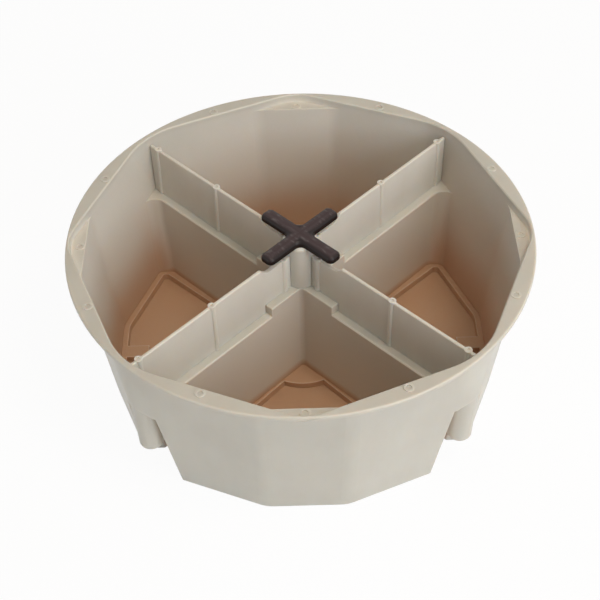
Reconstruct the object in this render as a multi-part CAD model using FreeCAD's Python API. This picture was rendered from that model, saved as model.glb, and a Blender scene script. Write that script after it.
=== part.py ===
import FreeCAD, Part
import math
import os

Vec = FreeCAD.Vector
UP = Vec(0, 0, 1)
AXIS = Vec(0, 0, 0)

# Heights above the feet of the pods
rim_top = 100.0
flange_under = 97.0
shelf_top = 95.0
shelf_under = 93.0
panel_top = 94.5
raised_ledge_top = 67.0
ledge_top = 61.0
ledge_plate = 2.3
leg_bottom = 26.6
floor_shelf_top = 6.4
floor_top = 2.2

# Rim and drafted walls of the tub
rim_r = 130.0
rim_edge_round = 1.0
wall_apothem_top = 120.5
wall_draft = 0.108
wall = 2.4
facet_round = 18.0
rim_corner_round = 48.0
ledge_corner_round = 4.0
shelf_corner_round = 26.0
rim_edge_bevel = 0.6
shelf_band = 1.9
shelf_cone_r = 125.0
shelf_cone_bottom = 92.0
lift = 1.0

# Pods below the ledge, with the slot between neighbours
slot_half_base = 7.7
slot_half_ledge = 4.1
pod_side_wall = 2.3
chamfer_base = 98.4
chamfer_ledge = 112.1
chamfer_wall = 3.1
pod_corner_round = 2.4
pod_hub_round = 4.0
pod_foot_round = 1.2
pod_leg_round = 5.0
pod_mouth_bevel = 0.6
floor_inset = 3.2
floor_side_inset = 4.2
floor_hub_inset = 0.4
hub_platform_r = 29.2
floor_round = 2.0
floor_land_half = 4.5
floor_land_r = 94.0
far = 60.0

# Raised ledge and socket in the middle of the tray
raised_ledge_r = 30.0
raised_ledge_half = 6.4
socket_r = 5.9

# Legs under the four corners, each below an arch in the skirt
leg_axis_r = 119.4
leg_r_bottom = 6.8
leg_r_top = 8.0
leg_top = 64.5
leg_bore_r = 4.5
leg_edge_round = 1.8
arch_half = 10.3

# Ejector rings on the flange and the shelves
ring_r = 2.7
ring_hole_r = 1.5
ring_height = 0.5
ring_facet_r = 124.0
ring_facet_offset = 24.5
ring_shelf_r = 123.0

# Divider panels
panel_half_top = 1.0
panel_half_bottom = 1.4
panel_top_bevel = 0.45
panel_end_gap = 0.6
panel_step_gap = 0.4
panel_rib_stand = 1.0
panel_ribs = ((13.9, 2.2), (68.0, 1.4), (119.4, 1.4))
boss_r = 2.1
boss_hole_r = 0.9
boss_hole_depth = 0.5
boss_height = 0.5
boss_depth = 1.4
notch_floor = 90.2
notch_floor_r = 27.5
notch_end_r = 32.4
notch_round = 4.0

# Hub post, screw and cross grip
hub_r = 9.8
hub_top_round = 2.0
hub_groove_half = 1.5
hub_groove_r = 8.0
spigot_r = 5.6
spigot_bottom = 62.0
screw_r = 2.0
screw_hole_r = 2.2
screw_top = 93.0
screw_head_r = 3.5
screw_head_high = 2.4
screw_head_well_r = 3.9
screw_head_well = 2.8
screw_drive_half = 0.5
screw_drive_r = 2.0
screw_drive_deep = 1.2
grip_under = 97.3
grip_top = 101.2
grip_tip_r = 27.7
grip_half = 4.6
grip_crotch_round = 3.5
grip_tip_round = 3.2
grip_top_round = 2.8
stem_r = 3.5
stem_bore_r = 3.6
stem_bottom = 82.0
stem_bore_bottom = 80.0

POD_DIRECTIONS = (45.0, 135.0, 225.0, 315.0)
DIVIDER_DIRECTIONS = {"right": 0.0, "back": 90.0, "left": 180.0, "front": 270.0}
SIDE_TURN = 22.5


# Small shape helpers
def apothem(z):
    return wall_apothem_top - wall_draft * (rim_top - z)


def corner_round(z):
    part = max(0.0, (z - ledge_top) / (rim_top - ledge_top))
    return ledge_corner_round + (rim_corner_round - ledge_corner_round) * part


def corner_r(z):
    secant = 1.0 / math.cos(math.radians(SIDE_TURN))
    return apothem(z) * secant - corner_round(z) * (secant - 1.0)


def mix(at_base, at_ledge, z):
    return at_base + (at_ledge - at_base) * z / ledge_top


def heading(degrees):
    return Vec(math.cos(math.radians(degrees)), math.sin(math.radians(degrees)), 0)


def polygon_from_normals(normals, distance):
    points = []
    for first, second in zip(normals, normals[1:] + normals[:1]):
        half_turn = (second - first) % 360.0 / 2.0
        points.append(heading(first + half_turn) * (distance / math.cos(math.radians(half_turn))))
    return points


# Closed line through the corners in turn, each rounded with its own radius
def rounded_outline(corners, radii, z):
    arcs, starts, stops = [], [], []
    befores, afters = corners[-1:] + corners[:-1], corners[1:] + corners[:1]
    for before, corner, after, radius in zip(befores, corners, afters, radii):
        arriving, leaving = (corner - before).normalize(), (after - corner).normalize()
        half_turn = arriving.getAngle(leaving) / 2.0
        run = radius * math.tan(half_turn)
        inward = (leaving - arriving).normalize()
        crest = corner + inward * (radius / math.cos(half_turn) - radius)
        starts.append(corner - arriving * run + UP * z)
        stops.append(corner + leaving * run + UP * z)
        arcs.append(Part.Arc(starts[-1], crest + UP * z, stops[-1]).toShape())
    lines = [Part.makeLine(stop, start) for stop, start in zip(stops, starts[1:] + starts[:1])]
    return Part.Wire([edge for pair in zip(arcs, lines) for edge in pair])


def turned(shape, degrees):
    copy = shape.copy()
    copy.rotate(AXIS, UP, degrees)
    return copy


def slanted_edges(shape, keep):
    chosen = []
    for edge in shape.Edges:
        low, high = sorted((edge.Vertexes[0].Point, edge.Vertexes[-1].Point), key=lambda p: p.z)
        if high.z - low.z > 1.0 and keep(low):
            chosen.append(edge)
    return chosen


# Faceted drafted tub: a middle facet and two side facets to each pod, rounded at every corner
def tub(offset, z_low, z_high):
    def around(z):
        normals, radii = [], []
        for pod in POD_DIRECTIONS:
            normals += [pod - SIDE_TURN, pod, pod + SIDE_TURN]
            radii += [facet_round + offset, facet_round + offset, corner_round(z) + offset]
        return rounded_outline(polygon_from_normals(normals, apothem(z) + offset), radii, z)
    return Part.makeLoft([around(z_low), around(z_high)], True, True)


# Octagon of the rim opening, whose corners over the pods leave the sunken shelves
def rim_octagon(offset_low, offset_high, z_low, z_high):
    def around(offset, z):
        normals, radii = [], []
        for pod in POD_DIRECTIONS:
            normals += [pod - SIDE_TURN, pod + SIDE_TURN]
            radii += [shelf_corner_round + offset, corner_round(z) + offset]
        return rounded_outline(polygon_from_normals(normals, apothem(z) + offset), radii, z)
    return Part.makeLoft([around(offset_low, z_low), around(offset_high, z_high)], True, True)


# Plan of the pod in the first quadrant: two slot sides, two chamfers by the legs and three facets
def pod_plan(z, insets, tub_offset, radii):
    hub_inset, side_inset, chamfer_inset = insets
    hub_round, leg_round = radii
    slot = mix(slot_half_base, slot_half_ledge, z)
    hub, side = slot + hub_inset, slot + side_inset
    end = mix(chamfer_base, chamfer_ledge, z) - chamfer_inset + side
    facing = heading(SIDE_TURN)
    reach = apothem(z) + tub_offset
    run = (reach - end * facing.x - side * facing.y) / (facing.x + facing.y)
    knee = heading(1.5 * SIDE_TURN) * (reach / math.cos(math.radians(SIDE_TURN / 2.0)))
    half = [Vec(end, side, 0), Vec(end + run, side + run, 0), knee]
    corners = [Vec(hub, hub, 0)] + half + [Vec(p.y, p.x, 0) for p in reversed(half)]
    facet = facet_round + tub_offset
    legs = [leg_round, leg_round]
    return rounded_outline(corners, [hub_round] + legs + [facet, facet] + legs, z)


def pod_outside():
    insets, radii = (0.0, 0.0, 0.0), (pod_hub_round, pod_foot_round)
    solid = Part.makeLoft([pod_plan(z, insets, wall, radii) for z in (0.0, ledge_top)], True, True)
    feet = [e for e in solid.Edges if e.BoundBox.ZMax < 0.01]
    return solid.makeFillet(pod_foot_round, feet)


def pod_inside():
    radii = (pod_corner_round, pod_leg_round)
    insets = (pod_side_wall, pod_side_wall, chamfer_wall)
    heights = (floor_shelf_top, ledge_top)
    solid = Part.makeLoft([pod_plan(z, insets, 0.0, radii) for z in heights], True, True)
    mouth_insets = (pod_side_wall - pod_mouth_bevel, pod_side_wall - pod_mouth_bevel, chamfer_wall)
    mouth_low = pod_plan(ledge_top - pod_mouth_bevel, insets, 0.0, radii)
    mouth_high = pod_plan(ledge_top, mouth_insets, 0.0, radii)
    return [solid, Part.makeLoft([mouth_low, mouth_high], True, True)]


def floor_recess():
    insets = (pod_side_wall + floor_hub_inset, pod_side_wall + floor_side_inset, chamfer_wall + floor_inset)
    heights, radii = (floor_top, floor_shelf_top + lift), (floor_round, floor_round)
    solid = Part.makeLoft([pod_plan(z, insets, -floor_inset, radii) for z in heights], True, True)
    solid = solid.cut(Part.makeCylinder(hub_platform_r, rim_top, AXIS, UP))
    land = Part.makeBox(far, 2 * floor_land_half, rim_top, Vec(floor_land_r, -floor_land_half, 0))
    return solid.cut(turned(land, POD_DIRECTIONS[0]))


# Tray: everything that is one moulding
def corner_leg():
    leg = Part.makeCone(leg_r_bottom, leg_r_top, leg_top - leg_bottom, Vec(leg_axis_r, 0, leg_bottom), UP)
    foot = [e for e in leg.Edges if e.BoundBox.ZMax < leg_bottom + 0.01]
    return leg.makeFillet(leg_edge_round, foot)


def leg_arch(plate_under):
    points = [(-arch_half, plate_under - lift), (arch_half, plate_under - lift), (arch_half, plate_under),
              (0.0, leg_top), (-arch_half, plate_under)]
    wire = Part.makePolygon([Vec(leg_axis_r, y, z) for y, z in points + points[:1]])
    return Part.Face(wire).extrude(Vec(far, 0, 0))


def ejector_ring(x, y, z):
    ring = Part.makeCylinder(ring_r, ring_height, Vec(x, y, z), UP)
    return ring.cut(Part.makeCylinder(ring_hole_r, ring_height, Vec(x, y, z), UP))


def tray_body():
    rim = Part.makeCylinder(rim_r, rim_top - flange_under, Vec(0, 0, flange_under), UP)
    rim = rim.makeFillet(rim_edge_round, [e for e in rim.Edges if len(e.Vertexes) == 1])
    band = rim_octagon(shelf_band, shelf_band, shelf_under, flange_under)
    cone_high = flange_under - shelf_cone_bottom
    band = band.common(Part.makeCone(shelf_cone_r, rim_r, cone_high, Vec(0, 0, shelf_cone_bottom), UP))
    plate_under = ledge_top - ledge_plate
    arch = leg_arch(plate_under)
    arches = [turned(arch, angle) for angle in DIVIDER_DIRECTIONS.values()]
    outside = tub(wall, plate_under, flange_under).cut(arches).fuse([band, rim])
    pod, leg, hollows = pod_outside(), corner_leg(), pod_inside() + [floor_recess()]
    for quarter in range(4):
        outside = outside.fuse([turned(pod, 90.0 * quarter), turned(leg, 90.0 * quarter)])
    outside = outside.cut(tub(0.0, ledge_top, shelf_top))
    outside = outside.cut(rim_octagon(0.0, 0.0, shelf_top, rim_top + lift))
    bevel_low, bevel_high = rim_top - rim_edge_bevel, rim_top + rim_edge_bevel
    outside = outside.cut(rim_octagon(0.0, 2 * rim_edge_bevel, bevel_low, bevel_high))
    for quarter in range(4):
        outside = outside.cut([turned(hollow, 90.0 * quarter) for hollow in hollows])

    block = Part.makeBox(2 * raised_ledge_r, 2 * raised_ledge_half, raised_ledge_top - plate_under,
                         Vec(-raised_ledge_r, -raised_ledge_half, plate_under))
    slot_high = raised_ledge_top - ledge_plate
    slot_half = mix(slot_half_base, slot_half_ledge, slot_high)
    under = Part.makeBox(2 * (raised_ledge_r - ledge_plate), 2 * slot_half, slot_high,
                         Vec(ledge_plate - raised_ledge_r, -slot_half, 0.0))
    cross = block.fuse(turned(block, 90.0)).removeSplitter()
    crotch = slanted_edges(cross, lambda p: math.hypot(p.x, p.y) < 2 * raised_ledge_half)
    cross = cross.makeFillet(pod_corner_round, crotch)
    crown = [e for e in cross.Edges if e.BoundBox.ZMin > raised_ledge_top - 0.01]
    cross = cross.makeFillet(pod_mouth_bevel, crown)
    outside = outside.fuse(cross).cut([under, turned(under, 90.0)])

    rings = []
    shelf_ring = ejector_ring(ring_shelf_r, 0.0, shelf_top)
    flange_ring = ejector_ring(ring_facet_r, 0.0, rim_top)
    for pod in POD_DIRECTIONS:
        rings.append(turned(shelf_ring, pod))
        rings += [turned(flange_ring, pod + turn) for turn in (-ring_facet_offset, ring_facet_offset)]
    outside = outside.fuse(rings)

    socket = Part.makeCylinder(socket_r, rim_top, AXIS, UP)
    bore = Part.makeCylinder(leg_bore_r, plate_under - leg_bottom + lift,
                             Vec(leg_axis_r, 0, leg_bottom - lift), UP)
    outside = outside.cut([socket] + [turned(bore, 90.0 * quarter) for quarter in range(4)])
    return outside.removeSplitter()


# Divider panel, drawn along +X
def panel_rib(place, radius):
    high = panel_top if place > notch_end_r else notch_floor
    low = ledge_top if place > raised_ledge_r else raised_ledge_top
    pieces = []
    for side in (-1, 1):
        offset_low = side * (panel_half_bottom + panel_rib_stand - radius)
        offset_high = side * (panel_half_top + panel_rib_stand - radius)
        circles = [Part.Wire(Part.makeCircle(radius, Vec(place, offset_low, low), UP)),
                   Part.Wire(Part.makeCircle(radius, Vec(place, offset_high, high), UP))]
        pieces.append(Part.makeLoft(circles, True, True))
    boss = Part.makeCylinder(boss_r, boss_depth + boss_height, Vec(place, 0, high - boss_depth), UP)
    dimple_floor = high + boss_height - boss_hole_depth
    dimple = Part.makeCylinder(boss_hole_r, boss_hole_depth, Vec(place, 0, dimple_floor), UP)
    return pieces + [boss], dimple


def divider_panel():
    end_low = corner_r(ledge_top) - panel_end_gap
    end_high = corner_r(panel_top) - panel_end_gap
    step_r = raised_ledge_r + panel_step_gap
    profile = [(hub_groove_r, raised_ledge_top), (step_r, raised_ledge_top), (step_r, ledge_top),
               (end_low, ledge_top), (end_high, panel_top), (notch_end_r, panel_top),
               (notch_floor_r, notch_floor), (hub_groove_r, notch_floor)]
    wire = Part.makePolygon([Vec(x, 0, z) for x, z in profile + profile[:1]])
    sheet = Part.Face(wire).extrude(Vec(0, 2 * far, 0))
    sheet.translate(Vec(0, -far, 0))
    bevel_z, bevel_half = panel_top - panel_top_bevel, panel_half_top - panel_top_bevel
    half_section = [(panel_half_bottom, ledge_top), (panel_half_top, bevel_z), (bevel_half, panel_top)]
    section = half_section + [(-y, z) for y, z in reversed(half_section)]
    wire = Part.makePolygon([Vec(0, y, z) for y, z in section + section[:1]])
    wedge = Part.Face(wire).extrude(Vec(rim_r, 0, 0))
    panel = sheet.common(wedge)
    inside_corner = [e for e in panel.Edges if e.BoundBox.ZLength < 0.01 and e.BoundBox.XLength < 0.01
                     and abs(e.CenterOfMass.x - notch_floor_r) < 0.01]
    panel = panel.makeFillet(notch_round, inside_corner)
    for place, radius in panel_ribs:
        pieces, dimple = panel_rib(place, radius)
        for piece in pieces:
            panel = panel.fuse(piece)
        panel = panel.cut(dimple)
    return panel.removeSplitter()


# Hub post with a groove for each panel, screwed to the stem of the grip from below
def hub_post():
    post = Part.makeCylinder(hub_r, grip_under - raised_ledge_top, Vec(0, 0, raised_ledge_top), UP)
    post = post.makeFillet(hub_top_round, [e for e in post.Edges if e.BoundBox.ZMin > grip_under - 0.01])
    spigot = Part.makeCylinder(spigot_r, raised_ledge_top - spigot_bottom, Vec(0, 0, spigot_bottom), UP)
    post = post.fuse(spigot)
    groove = Part.makeBox(hub_r, 2 * hub_groove_half, notch_floor - raised_ledge_top,
                          Vec(hub_groove_r, -hub_groove_half, raised_ledge_top))
    post = post.cut([turned(groove, 90.0 * quarter) for quarter in range(4)])
    post = post.cut(Part.makeCylinder(screw_hole_r, rim_top, AXIS, UP))
    post = post.cut(Part.makeCylinder(stem_bore_r, rim_top, Vec(0, 0, stem_bore_bottom), UP))
    return post.cut(Part.makeCylinder(screw_head_well_r, screw_head_well, Vec(0, 0, spigot_bottom), UP))


def grip_screw():
    seat = spigot_bottom + screw_head_well
    shank = Part.makeCylinder(screw_r, screw_top - seat, Vec(0, 0, seat), UP)
    head = Part.makeCylinder(screw_head_r, screw_head_high, Vec(0, 0, seat - screw_head_high), UP)
    slot = Part.makeBox(2 * screw_drive_r, 2 * screw_drive_half, screw_drive_deep,
                        Vec(-screw_drive_r, -screw_drive_half, seat - screw_head_high))
    return shank.fuse(head).cut([slot, turned(slot, 90.0)]).removeSplitter()


def cross_grip():
    arm = Part.makeBox(2 * grip_tip_r, 2 * grip_half, grip_top - grip_under,
                       Vec(-grip_tip_r, -grip_half, grip_under))
    grip = arm.fuse(turned(arm, 90.0)).removeSplitter()
    near_axis = lambda p: math.hypot(p.x, p.y) < 2 * grip_half
    grip = grip.makeFillet(grip_crotch_round, slanted_edges(grip, near_axis))
    at_tip = lambda p: abs(math.hypot(p.x, p.y) - math.hypot(grip_tip_r, grip_half)) < 0.01
    grip = grip.makeFillet(grip_tip_round, slanted_edges(grip, at_tip))
    crown = [e for e in grip.Edges if e.BoundBox.ZMin > grip_top - 0.01]
    grip = grip.makeFillet(grip_top_round, crown)
    grip = grip.fuse(Part.makeCylinder(stem_r, grip_under - stem_bottom, Vec(0, 0, stem_bottom), UP))
    return grip.cut(Part.makeCylinder(screw_r, screw_top - stem_bottom, Vec(0, 0, stem_bottom), UP))


# Write one file to each piece
os.makedirs("parts", exist_ok=True)
nodes = {"tray_body": tray_body(), "hub_post": hub_post(),
         "cross_grip": cross_grip(), "grip_screw": grip_screw()}
panel = divider_panel()
for name, angle in DIVIDER_DIRECTIONS.items():
    nodes["divider_" + name] = turned(panel, angle)
for name, shape in nodes.items():
    shape.exportStep("parts/" + name + ".step")
    print(name, shape.isValid(), len(shape.Solids), round(shape.Volume / 1000.0, 2), "cm3", shape.BoundBox)
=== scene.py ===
import math
import bpy
import bmesh
from mathutils import Matrix, Vector


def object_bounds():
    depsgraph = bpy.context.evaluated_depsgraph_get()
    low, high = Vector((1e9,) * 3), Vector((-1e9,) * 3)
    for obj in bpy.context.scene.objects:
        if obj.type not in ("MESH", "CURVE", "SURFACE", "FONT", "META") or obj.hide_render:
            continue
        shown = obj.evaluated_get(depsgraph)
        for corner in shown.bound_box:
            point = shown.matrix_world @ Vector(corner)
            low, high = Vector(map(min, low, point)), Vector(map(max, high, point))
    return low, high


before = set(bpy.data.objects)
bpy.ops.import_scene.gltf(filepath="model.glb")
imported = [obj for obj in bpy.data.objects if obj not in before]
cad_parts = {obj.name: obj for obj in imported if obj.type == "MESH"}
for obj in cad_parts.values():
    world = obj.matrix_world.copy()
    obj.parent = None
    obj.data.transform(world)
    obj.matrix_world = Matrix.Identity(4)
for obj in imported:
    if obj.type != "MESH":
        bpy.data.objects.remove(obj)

cad_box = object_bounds()


# Tray body: one injection moulding in pale tan polypropylene, with the rim flange, four drafted pods,
# ledges and legs in one piece. The mould is spark-eroded to a fine matt grain and thin floors let warm
# light through. Sheltered walls and floors are painted darker and warm as painted shade, the inside below
# the rim is painted paler as painted light, and convex edges, handled and stacked and so rubbed smoother,
# also get a painted highlight.
class Socket:
    def __init__(self, out):
        self.out = out
        self.tree = out.id_data

    def node(self, kind, settings, sockets, output=0):
        made = self.tree.nodes.new("ShaderNode" + kind)
        for name, value in settings.items():
            setattr(made, name, value)
        for key, value in sockets.items():
            if isinstance(value, Socket):
                self.tree.links.new(value.out, made.inputs[key])
            else:
                made.inputs[key].default_value = value
        return Socket(made.outputs[output])

    def math(self, operation, *values):
        return self.node("Math", {"operation": operation}, dict(enumerate(values)))

    def __add__(self, other):
        return self.math("ADD", self, other)

    def __sub__(self, other):
        return self.math("SUBTRACT", self, other)

    def __mul__(self, other):
        return self.math("MULTIPLY", self, other)

    def __radd__(self, other):
        return self.math("ADD", other, self)

    def __rsub__(self, other):
        return self.math("SUBTRACT", other, self)

    def __rmul__(self, other):
        return self.math("MULTIPLY", other, self)

    def __abs__(self):
        return self.math("ABSOLUTE", self)

    def least(self, other):
        return self.math("MINIMUM", self, other)

    def most(self, other):
        return self.math("MAXIMUM", self, other)

    def held(self):
        return self.node("Clamp", {}, {"Value": self})

    def spread(self, start, full):
        settings = {"interpolation_type": "SMOOTHSTEP"}
        return self.node("MapRange", settings, {"Value": self, "From Min": start, "From Max": full})

    def axes(self):
        return [self.node("SeparateXYZ", {}, {"Vector": self}, axis) for axis in "XYZ"]

    def noise(self, scale, detail, roughness):
        sockets = {"Vector": self, "Scale": scale, "Detail": detail, "Roughness": roughness}
        return self.node("TexNoise", {}, sockets)

    def stretched(self, turn, scale):
        return self.node("Mapping", {}, {"Vector": self, "Rotation": turn, "Scale": scale})

    def openness(self, reach, **settings):
        return self.node("AmbientOcclusion", {"samples": 8, **settings}, {"Distance": reach}, "AO")

    def tint(self, first, second):
        return self.node("Mix", {"data_type": "RGBA"}, {0: self, 6: first, 7: second}, 2)

    def bump(self, strength, distance):
        return self.node("Bump", {}, {"Strength": strength, "Distance": distance, "Height": self})


def start_finish(name):
    finish = bpy.data.materials.new(name)
    finish.use_nodes = True
    place = finish.node_tree.nodes.new("ShaderNodeTexCoord")
    return finish, finish.node_tree.nodes["Principled BSDF"], Socket(place.outputs["Object"])


def set_inputs(shader, values):
    for name, value in values.items():
        if isinstance(value, Socket):
            shader.id_data.links.new(value.out, shader.inputs[name])
        else:
            shader.inputs[name].default_value = value


rim_radius, top_height = cad_box[1][0], cad_box[1][2]
edge_width = 0.0011
grain_depth = 0.00025
glow_depth = 0.004
shelter_reach = 1.2 * top_height
inside_heights = (0.98 * top_height, 0.94 * top_height)
floor_heights = (0.14 * top_height, 0.06 * top_height)
low_glow_heights = (0.5 * top_height, 0.12 * top_height)
low_glow_radii = (0.54 * rim_radius, 0.815 * rim_radius)
slot_sides = (0.05 * rim_radius, 0.11 * rim_radius)
edge_openness, inside_openness = (0.86, 0.42), (0.95, 0.62)
wall_openness, floor_openness = (0.64, 0.3), (0.8, 0.42)
wall_shade_weight, low_glow_weight = 0.2, 0.65
mottle_range = (0.36, 0.64)


def moulded_tan(name, colour, shade, lit_inside, edge_highlight, warm_shade):
    finish, shader, place = start_finish(name)
    x, y, height = place.axes()
    cloud = place.noise(scale=22.0, detail=4.0, roughness=0.55)
    drawn = place.stretched(turn=(0, 0, 0), scale=(1.0, 1.0, 0.22))
    flow = drawn.noise(scale=95.0, detail=3.0, roughness=0.6)
    grain = place.noise(scale=1500.0, detail=2.0, roughness=0.6)
    pits = place.noise(scale=520.0, detail=3.0, roughness=0.65)
    # Convex edges: rubbed smoother in the roughness, and lightened in the base colour as a painted
    # highlight.
    edge_wear_and_highlight = place.openness(edge_width, inside=True).spread(*edge_openness)
    open_sky = place.openness(shelter_reach, only_local=True)
    reach = place.math("SQRT", x * x + y * y)
    beside_slot = abs(x).least(abs(y))
    # Painted shade and warm glow: strongest low on the walls near the outer wall, away from the slots.
    low_wall_glow = reach.spread(*low_glow_radii) * height.spread(*low_glow_heights) * beside_slot.spread(*slot_sides)
    wall_shade = open_sky.spread(*wall_openness) * (wall_shade_weight + low_glow_weight * low_wall_glow)
    floor_shade = open_sky.spread(*floor_openness) * height.spread(*floor_heights)
    # Mask for painted light inside the tray: sheltered surfaces below the rim.
    inside = open_sky.spread(*inside_openness) * height.spread(*inside_heights)
    body = (cloud * 0.7 + flow * 0.3).spread(*mottle_range).tint(shade, colour)
    # Painted light: sheltered surfaces inside, below the rim, are painted paler.
    body = inside.tint(body, lit_inside)
    # Painted shade: sheltered walls and floors are painted darker and warm, standing in for shade and for
    # light glowing through the thin walls.
    body = wall_shade.most(floor_shade).tint(body, warm_shade)
    # Painted highlight: convex edges are lightened in the base colour.
    body = (edge_wear_and_highlight * (0.35 + 0.4 * cloud)).tint(body, edge_highlight)
    set_inputs(shader, {
        "Base Color": body,
        "Roughness": (0.40 + 0.1 * pits - 0.1 * edge_wear_and_highlight).held(),
        "Specular IOR Level": 0.5,
        "Subsurface Weight": 0.6,
        "Subsurface Radius": (1.0, 0.7, 0.5),
        "Subsurface Scale": glow_depth,
        "Normal": (grain * 0.6 + pits * 0.4).bump(strength=0.16, distance=grain_depth),
    })
    return finish


tray_tan = (0.565, 0.56, 0.51, 1)
tray_shade = (0.535, 0.525, 0.475, 1)
# The inner colour is painted light, laid on the inside of the tray below the rim.
tray_lit_inside = (0.64, 0.625, 0.575, 1)
# The rubbed colour is a painted highlight for the tray's convex edges.
tray_edge_highlight = (0.72, 0.70, 0.64, 1)
# The deep warm colour is painted shade, darker and warmer, for sheltered walls and floors.
painted_warm_shade = (0.505, 0.32, 0.205, 1)
tray_finish = moulded_tan("tray_tan", tray_tan, tray_shade, tray_lit_inside, tray_edge_highlight, painted_warm_shade)
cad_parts["tray_body"].data.materials[0] = tray_finish


# Divider panels: four thin tan panels with half-round ribs and ejector dimples, moulded apart from the
# tray, plugged into the hub's grooves and standing on the ledges with their ends close to the wall.
panel_tan = (0.66, 0.65, 0.597, 1)
panel_shade = (0.63, 0.615, 0.562, 1)
# The panels' rubbed colour is a painted highlight for their convex edges.
panel_edge_highlight = (0.79, 0.76, 0.70, 1)
panel_finish = moulded_tan("panel_tan", panel_tan, panel_shade, panel_tan, panel_edge_highlight, painted_warm_shade)
for side in ("front", "right", "back", "left"):
    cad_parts["divider_" + side].data.materials[0] = panel_finish


# Hub post: a round post in the same tan as the panels, with a groove for each of them, standing in the
# tray's socket and held to the grip by a screw from below.
hub_finish = moulded_tan("hub_tan", panel_tan, panel_shade, panel_tan, panel_edge_highlight, painted_warm_shade)
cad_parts["hub_post"].data.materials[0] = hub_finish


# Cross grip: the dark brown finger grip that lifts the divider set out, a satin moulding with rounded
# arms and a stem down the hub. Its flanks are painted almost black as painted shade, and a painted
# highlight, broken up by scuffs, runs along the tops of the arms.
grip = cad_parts["cross_grip"]
arm_tip = max(corner[0] for corner in grip.bound_box)
arm_half = arm_tip / 6.0
flank_inset = (0.0002, 0.0034)
ridge_rise, ridge_fall = (0.001, 0.0027), (0.005, 0.0026)
scuff_range = (0.48, 0.7)


def moulded_dark(name, colour, flank_shade, ridge_highlight_colour):
    finish, shader, place = start_finish(name)
    x, y = place.axes()[:2]
    cloud = place.noise(scale=60.0, detail=3.0, roughness=0.55)
    grain = place.noise(scale=1900.0, detail=2.0, roughness=0.6)
    slanted = place.stretched(turn=(0, 0, 0.7), scale=(1.0, 3.0, 1.0))
    scuff = slanted.noise(scale=160.0, detail=3.0, roughness=0.6)
    across = abs(x).least(abs(y))
    along = abs(x).most(abs(y))
    inset = (arm_half - across).least(arm_tip - along)
    # Scuff pattern: lowers the roughness and strengthens the painted highlight on the arm tops.
    wear_and_highlight = scuff.spread(*scuff_range)
    ridge_highlight = inset.spread(*ridge_rise) * inset.spread(*ridge_fall)
    # Painted shade: the flanks of the arms are darkened almost to black.
    body = (inset.spread(*flank_inset) * (0.7 + 0.5 * cloud)).held().tint(flank_shade, colour)
    # Painted highlight: a paler band along the top of each arm, stronger where scuffed.
    body = (ridge_highlight * (0.12 + 0.6 * wear_and_highlight)).tint(body, ridge_highlight_colour)
    set_inputs(shader, {
        "Base Color": body,
        "Roughness": (0.34 + 0.12 * cloud - 0.08 * wear_and_highlight).held(),
        "Specular IOR Level": 0.25,
        "Normal": (grain * 0.7 + scuff * 0.3).bump(strength=0.12, distance=grain_depth),
    })
    return finish


grip_dark = (0.042, 0.023, 0.024, 1)
# The flank colour is painted shade for the sides of the arms.
grip_flank_shade = (0.01, 0.0055, 0.005, 1)
# The worn colour is a painted highlight along the tops of the arms.
grip_ridge_highlight = (0.12, 0.105, 0.108, 1)
grip_finish = moulded_dark("grip_dark", grip_dark, grip_flank_shade, grip_ridge_highlight)
grip.data.materials[0] = grip_finish


# Grip screw: a zinc plated steel screw with a cross recess, hidden in the foot of the hub, turned and
# rolled so that fine rings show round its shank.
zinc_dull, zinc_bright = (0.42, 0.42, 0.40, 1), (0.62, 0.62, 0.60, 1)
ring_depth = 0.0001


def zinc_plate(name, dull, bright):
    finish, shader, place = start_finish(name)
    cloud = place.noise(scale=700.0, detail=4.0, roughness=0.6)
    ringed = place.stretched(turn=(0, 0, 0), scale=(1.0, 1.0, 20.0))
    rings = ringed.noise(scale=500.0, detail=2.0, roughness=0.5)
    set_inputs(shader, {
        "Base Color": cloud.tint(dull, bright),
        "Metallic": 1.0,
        "Roughness": (0.3 + 0.2 * cloud).held(),
        "Normal": rings.bump(strength=0.1, distance=ring_depth),
    })
    return finish


screw_finish = zinc_plate("screw_zinc", zinc_dull, zinc_bright)
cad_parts["grip_screw"].data.materials[0] = screw_finish


# Studio floor: a plain pale sheet of paper under the feet of the pods, that shows white to the camera and
# still takes a soft shadow.
def shown_white(place):
    rays = ("Is Camera Ray", "Is Glossy Ray", "Is Transmission Ray")
    direct, glossy, through = (place.node("LightPath", {}, {}, ray) for ray in rays)
    return direct.most(glossy).most(through)


white = (1, 1, 1, 1)
paper_white = (0.82, 0.82, 0.82, 1)
floor_half, floor_drop, floor_glow = 4.0, 0.0005, 0.95
floor_mesh = bpy.data.meshes.new("studio_floor")
floor_shape = bmesh.new()
bmesh.ops.create_grid(floor_shape, x_segments=1, y_segments=1, size=floor_half)
bmesh.ops.translate(floor_shape, verts=floor_shape.verts, vec=(0, 0, -floor_drop))
floor_shape.to_mesh(floor_mesh)
floor_shape.free()
floor = bpy.data.objects.new("studio_floor", floor_mesh)
bpy.context.scene.collection.objects.link(floor)
floor_finish, paper, place = start_finish("floor_white")
set_inputs(paper, {"Base Color": paper_white, "Roughness": 0.9, "Specular IOR Level": 0.1})
glow = place.node("Emission", {}, {"Color": white, "Strength": 1.0})
seen = floor_glow * shown_white(place)
sheet = place.node("MixShader", {}, {0: seen, 1: Socket(paper.outputs[0]), 2: glow})
set_inputs(floor_finish.node_tree.nodes["Material Output"], {"Surface": sheet})
floor_mesh.materials.append(floor_finish)


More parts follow.
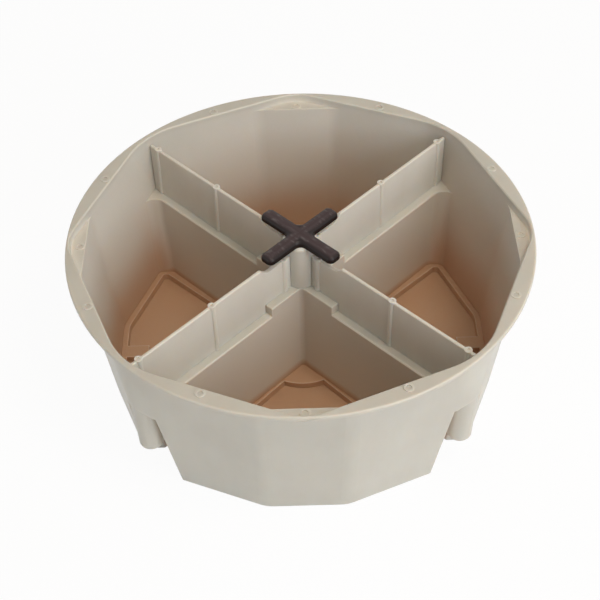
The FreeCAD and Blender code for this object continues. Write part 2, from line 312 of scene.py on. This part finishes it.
# Studio light: a white room whose ceiling is dim and warm, and almost dark towards the left, a broad
# lamp at the right, a warm lamp high over the right side and a weak cool one in front.
room_level = 0.69
horizon, halfway = (0.95, 0.98, 1, 1), (0.42, 0.36, 0.28, 1)
dark_side, overhead = (0.1, 0.06, 0.03, 1), (1.2, 1.03, 0.82, 1)
left_fade, ceiling_fade, overhead_fade = (0.0, 0.6), (0.05, 0.6), (0.8, 0.95)
room = bpy.data.worlds.new("white_room")
bpy.context.scene.world = room
room.use_nodes = True
ways = Socket(room.node_tree.nodes.new("ShaderNodeTexCoord").outputs["Generated"])
x, y, height = ways.axes()
shown = shown_white(ways)
leftward = (-0.7 * x - 0.7 * y).spread(*left_fade)
tone = height.spread(*ceiling_fade).tint(horizon, leftward.tint(halfway, dark_side))
tone = height.spread(*overhead_fade).tint(tone, overhead)
set_inputs(room.node_tree.nodes["Background"], {
    "Color": shown.tint(tone, white),
    "Strength": room_level + (1.0 - room_level) * shown,
})
lamp_aim = Vector((0, 0, 0.5 * top_height))


def soft_lamp(name, place, size, power, colour):
    lamp = bpy.data.lights.new(name, "AREA")
    lamp.size = size
    lamp.energy = power
    lamp.color = colour
    holder = bpy.data.objects.new(name, lamp)
    bpy.context.scene.collection.objects.link(holder)
    holder.location = place
    holder.rotation_euler = (lamp_aim - Vector(place)).to_track_quat("-Z", "Y").to_euler()


soft_lamp("key_right", place=(1.2, 0.0, 0.62), size=0.8, power=8.1, colour=(0.94, 0.955, 1.0))
soft_lamp("warm_above", place=(0.6, 0.04, 1.2), size=0.4, power=5.4, colour=(1.0, 0.88, 0.74))
soft_lamp("cool_front", place=(-0.45, -1.35, 0.18), size=0.8, power=3.0, colour=(0.93, 0.98, 1.0))


# Camera: a long lens held over the front pod at the angle of the photograph, fitted to the circle of the
# rim, the eight sides of the opening and the cross of panels.
frame_px = 600.0
focal_px = 1239.1
aim_point = Vector((0, 0, 0.1))
distance = 0.68903
azimuth, elevation = math.radians(44.93), math.radians(42.97)
pitch, yaw, roll = math.radians(3.04), math.radians(0.08), math.radians(-1.51)


def turned(first, second, angle):
    along, across = math.cos(angle), math.sin(angle)
    return along * first + across * second, along * second - across * first


level_back = Vector((math.sin(azimuth), -math.cos(azimuth), 0))
right = Vector((math.cos(azimuth), math.sin(azimuth), 0))
back = math.cos(elevation) * level_back + math.sin(elevation) * Vector((0, 0, 1))
up = back.cross(right)
stand = aim_point + distance * back
back, up = turned(back, up, pitch)
back, right = turned(back, right, yaw)
right, up = turned(right, up, roll)
lens = bpy.data.cameras.new("photo_camera")
lens.sensor_width = 36.0
lens.lens = lens.sensor_width * focal_px / frame_px
camera = bpy.data.objects.new("photo_camera", lens)
bpy.context.scene.collection.objects.link(camera)
camera.matrix_world = Matrix.Translation(stand) @ Matrix((right, up, back)).transposed().to_4x4()
bpy.context.scene.camera = camera
bpy.context.scene.view_settings.view_transform = "Standard"
